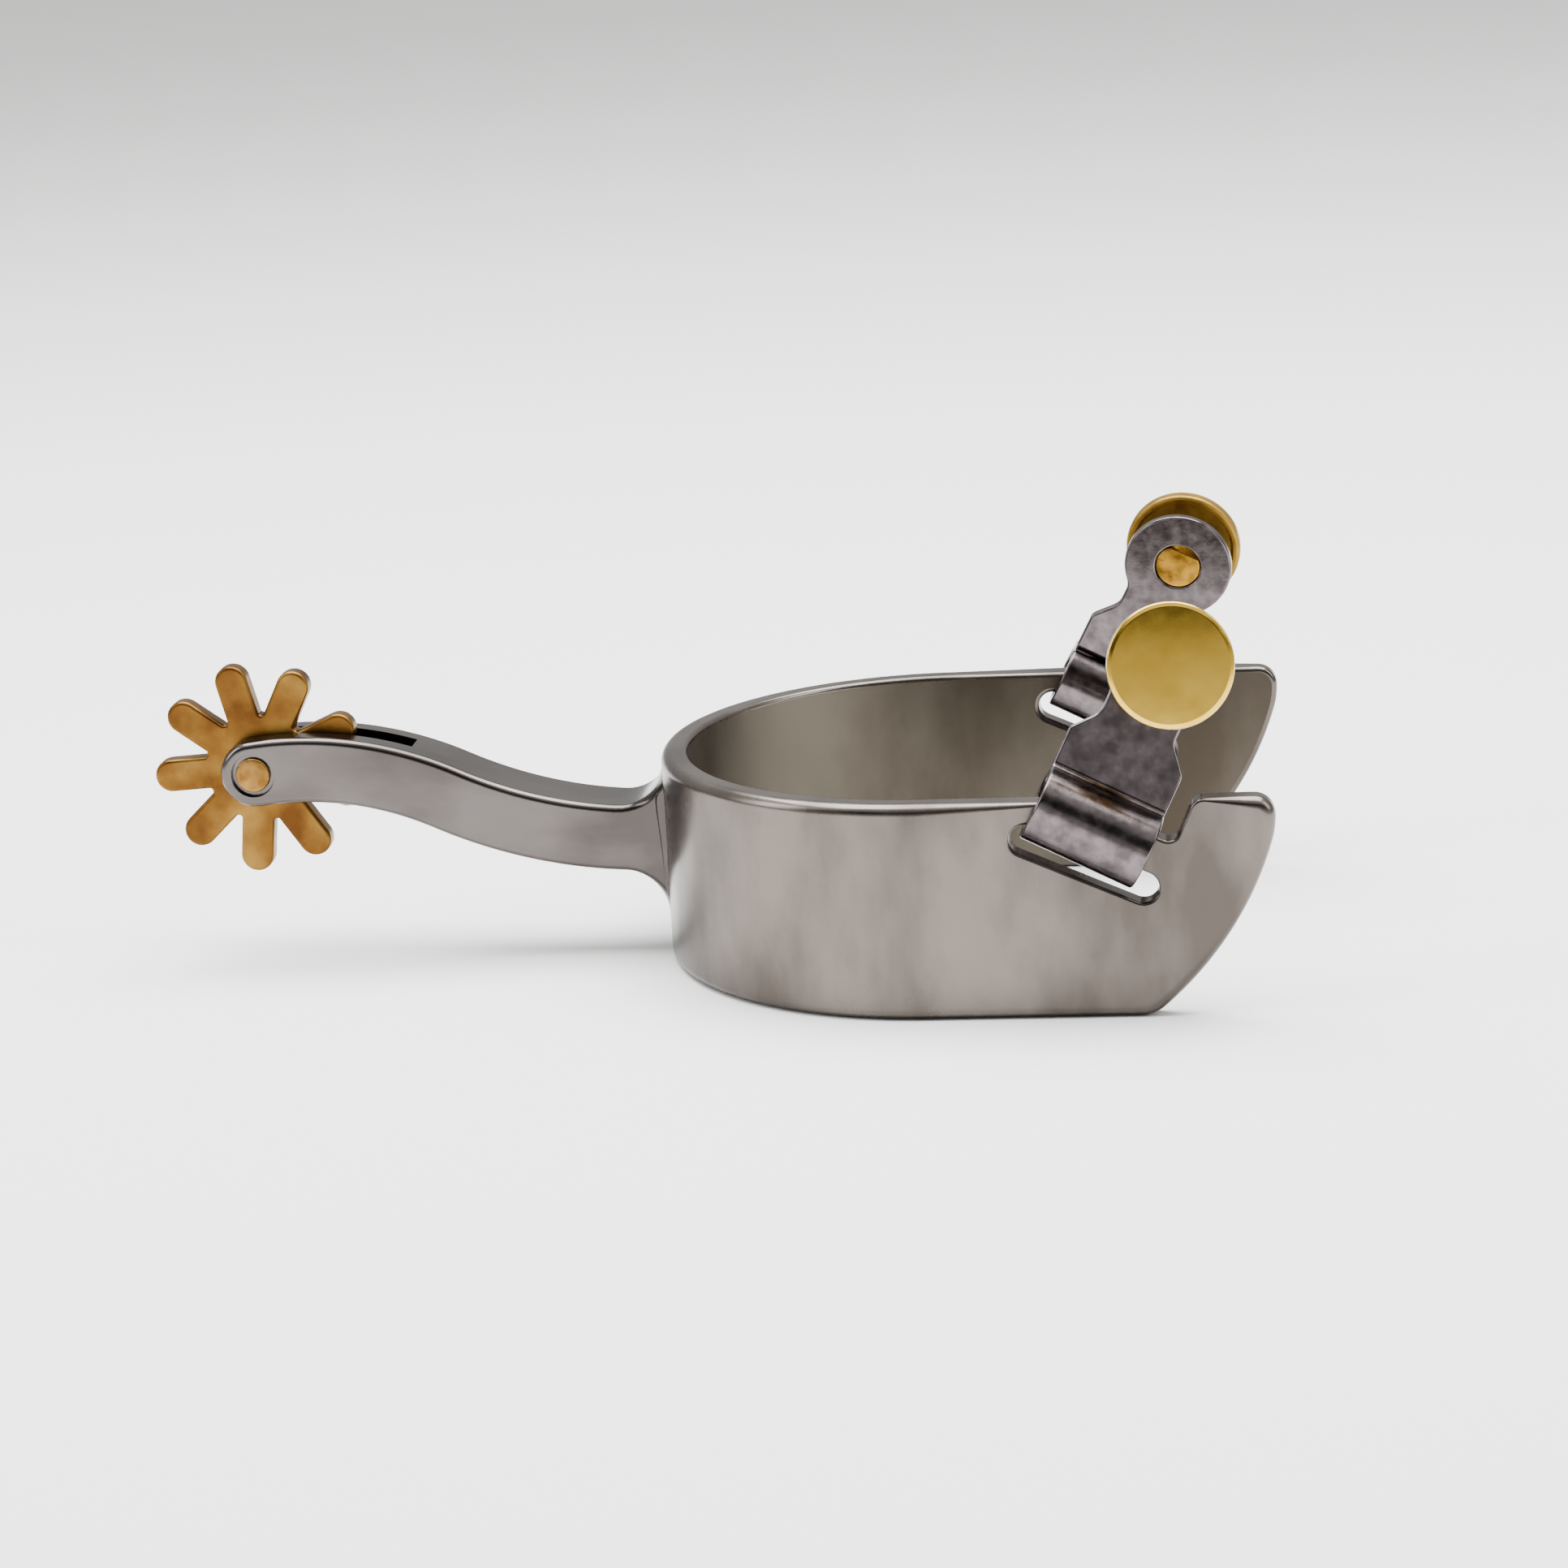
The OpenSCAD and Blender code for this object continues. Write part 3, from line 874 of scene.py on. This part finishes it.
def make_materials():
    return {
        "outer": metal(
            "satin_steel", [(0.078, 0.066, 0.058), (0.150, 0.131, 0.116)], (0.20, 0.32), 55,
            stretch=(1, 1, 0.45), tone_at=(0.4, 0.6),
        ),
        "shank": metal(
            "forged_steel", [(0.065, 0.056, 0.052), (0.115, 0.102, 0.097)], (0.15, 0.25), 60,
            stretch=(0.5, 1, 1), tone_at=(0.4, 0.6),
        ),
        # Inside face of the band: the same steel, rougher, with its base colour darkened as painted shade
        # for the inside of the band
        "inner": metal(
            "inner_steel_painted_shade", [(0.060, 0.049, 0.036), (0.098, 0.085, 0.067)], (0.38, 0.48), 40,
            stretch=(1, 1, 0.5), tone_at=(0.4, 0.6),
        ),
        "hanger": metal(
            "sheet_steel", [(0.078, 0.064, 0.066), (0.155, 0.134, 0.137)], (0.15, 0.27), 420,
            grain=0.06, scratch=0.03,
        ),
        "rowel": metal(
            "tumbled_brass", [(0.085, 0.034, 0.008), (0.15, 0.070, 0.014), (0.23, 0.125, 0.028)],
            (0.3, 0.42), 120, grain=0.1,
        ),
        "pin": metal(
            "pin_brass_metal", [(0.15, 0.070, 0.014), (0.36, 0.20, 0.055)], (0.24, 0.36), 300, grain=0.1,
        ),
        "button": metal(
            "polished_brass", [(0.68, 0.43, 0.052), (0.78, 0.51, 0.075)], (0.15, 0.22), 200,
        ),
        # Back of the buttons and lower side of the rim: the same brass, rougher, with its base colour
        # darkened as painted shade
        "button_back": metal(
            "dull_brass_painted_shade", [(0.20, 0.115, 0.018), (0.34, 0.20, 0.034)], (0.36, 0.5), 260, grain=0.06,
        ),
        "post": metal(
            "post_brass", [(0.13, 0.065, 0.008), (0.50, 0.26, 0.03)], (0.25, 0.4), 400, grain=0.08,
        ),
    }


# ---------------------------------------------------------------- studio

def floor_material():
    material = bpy.data.materials.new("floor_paper")
    material.use_nodes = True
    nodes = material.node_tree.nodes
    shader = nodes["Principled BSDF"]
    shader.inputs["Roughness"].default_value = 0.9
    speckle = nodes.new("ShaderNodeTexNoise")
    speckle.inputs["Scale"].default_value = 4.0
    ramp = nodes.new("ShaderNodeValToRGB")
    ramp.color_ramp.elements[0].color = (0.90, 0.90, 0.90, 1)
    ramp.color_ramp.elements[1].color = (0.93, 0.93, 0.93, 1)
    material.node_tree.links.new(speckle.outputs["Fac"], ramp.inputs["Fac"])
    material.node_tree.links.new(ramp.outputs["Color"], shader.inputs["Base Color"])
    return material


def make_floor():
    size = 6.0
    mesh = bpy.data.meshes.new("floor")
    z = -0.00005
    corners = [(-size, -size, z), (size, -size, z), (size, size, z), (-size, size, z)]
    mesh.from_pydata(corners, [], [(0, 1, 2, 3)])
    mesh.materials.append(floor_material())
    floor = bpy.data.objects.new("floor", mesh)
    bpy.context.scene.collection.objects.link(floor)


def area_light(name, place, target, size, power):
    data = bpy.data.lights.new(name, "AREA")
    data.shape = "RECTANGLE"
    data.size, data.size_y = size
    data.energy = power
    lamp = bpy.data.objects.new(name, data)
    lamp.location = place
    lamp.rotation_euler = (Vector(target) - Vector(place)).to_track_quat("-Z", "Y").to_euler()
    bpy.context.scene.collection.objects.link(lamp)


def sky_ramp(nodes, bands):
    """Grey levels by height above the horizon."""
    ramp = nodes.new("ShaderNodeValToRGB")
    elements = ramp.color_ramp.elements
    while len(elements) < len(bands):
        elements.new(0.5)
    for element, (height, level) in zip(elements, bands):
        element.position = height
        element.color = (level, level * 0.98, level * 0.96, 1)
    return ramp


def make_world():
    """A pale room with a darker band at the front, where the photographer stands.

    The band gives rounded edges their dark line beside the light one."""
    world = bpy.data.worlds.new("studio")
    bpy.context.scene.world = world
    world.use_nodes = True
    nodes = world.node_tree.nodes
    links = world.node_tree.links
    coords = nodes.new("ShaderNodeTexCoord")
    split = nodes.new("ShaderNodeSeparateXYZ")
    links.new(coords.outputs["Generated"], split.inputs["Vector"])
    front = sky_ramp(nodes, ((0.0, 0.8), (0.20, 0.75), (0.28, 0.05), (0.58, 0.05), (0.72, 1.0)))
    round_it = sky_ramp(nodes, ((0.0, 0.55), (0.5, 0.8), (0.8, 1.0)))
    to_front = nodes.new("ShaderNodeMapRange")
    to_front.inputs["From Min"].default_value = -0.1
    to_front.inputs["From Max"].default_value = -0.5
    links.new(split.outputs["Y"], to_front.inputs["Value"])
    blend = nodes.new("ShaderNodeMix")
    blend.data_type = "RGBA"
    links.new(split.outputs["Z"], front.inputs["Fac"])
    links.new(split.outputs["Z"], round_it.inputs["Fac"])
    links.new(to_front.outputs["Result"], blend.inputs["Factor"])
    links.new(round_it.outputs["Color"], blend.inputs["A"])
    links.new(front.outputs["Color"], blend.inputs["B"])
    links.new(blend.outputs["Result"], nodes["Background"].inputs["Color"])
    nodes["Background"].inputs["Strength"].default_value = 1.1


def make_lights():
    make_world()
    area_light("overhead", (0.0, 0.1, 0.9), (0, 0, 0), (1.1, 0.8), 36)
    area_light("left_side", (-0.9, -0.3, 0.55), (0, 0, 0.02), (0.4, 0.6), 5)
    area_light("right_side", (0.9, -0.2, 0.6), (0, 0, 0.02), (0.4, 0.6), 4)


CAMERA_PLACE = Vector((97.467, -633.24, 189.693))
CAMERA_YAW = 7.157
CAMERA_PITCH = 14.505
CAMERA_ROLL = -3.247
CAMERA_LENS = 100.63


def make_camera():
    yaw, pitch, roll = (math.radians(a) for a in (CAMERA_YAW, CAMERA_PITCH, CAMERA_ROLL))
    forward = Vector((
        -math.sin(yaw) * math.cos(pitch),
        math.cos(yaw) * math.cos(pitch),
        -math.sin(pitch),
    ))
    right = Vector((math.cos(yaw), math.sin(yaw), 0))
    up = right.cross(forward)
    across_x = right * math.cos(roll) + up * math.sin(roll)
    across_y = -right * math.sin(roll) + up * math.cos(roll)
    data = bpy.data.cameras.new("camera")
    data.sensor_width = 36
    data.lens = CAMERA_LENS
    data.clip_start = 0.05
    data.clip_end = 30
    camera = bpy.data.objects.new("camera", data)
    turn = Matrix((across_x, across_y, -forward)).transposed()
    camera.matrix_world = Matrix.Translation((CAMERA_PLACE - ORIGIN) * MM) @ turn.to_4x4()
    bpy.context.scene.collection.objects.link(camera)
    bpy.context.scene.camera = camera


def main():
    m = make_materials()
    make_band([m["outer"], m["inner"]])
    make_shank([m["shank"]])
    make_rowel(m["rowel"])
    make_pin(m["pin"])
    for side, word in ((1, "left"), (-1, "right")):
        make_hanger(side, word + "_hanger_strap", m["hanger"])
        make_button(side, word + "_button_disc", [m["button"], m["button_back"]])
        make_post(side, word + "_post_stem", m["post"])
    make_floor()
    make_lights()
    make_camera()


main()
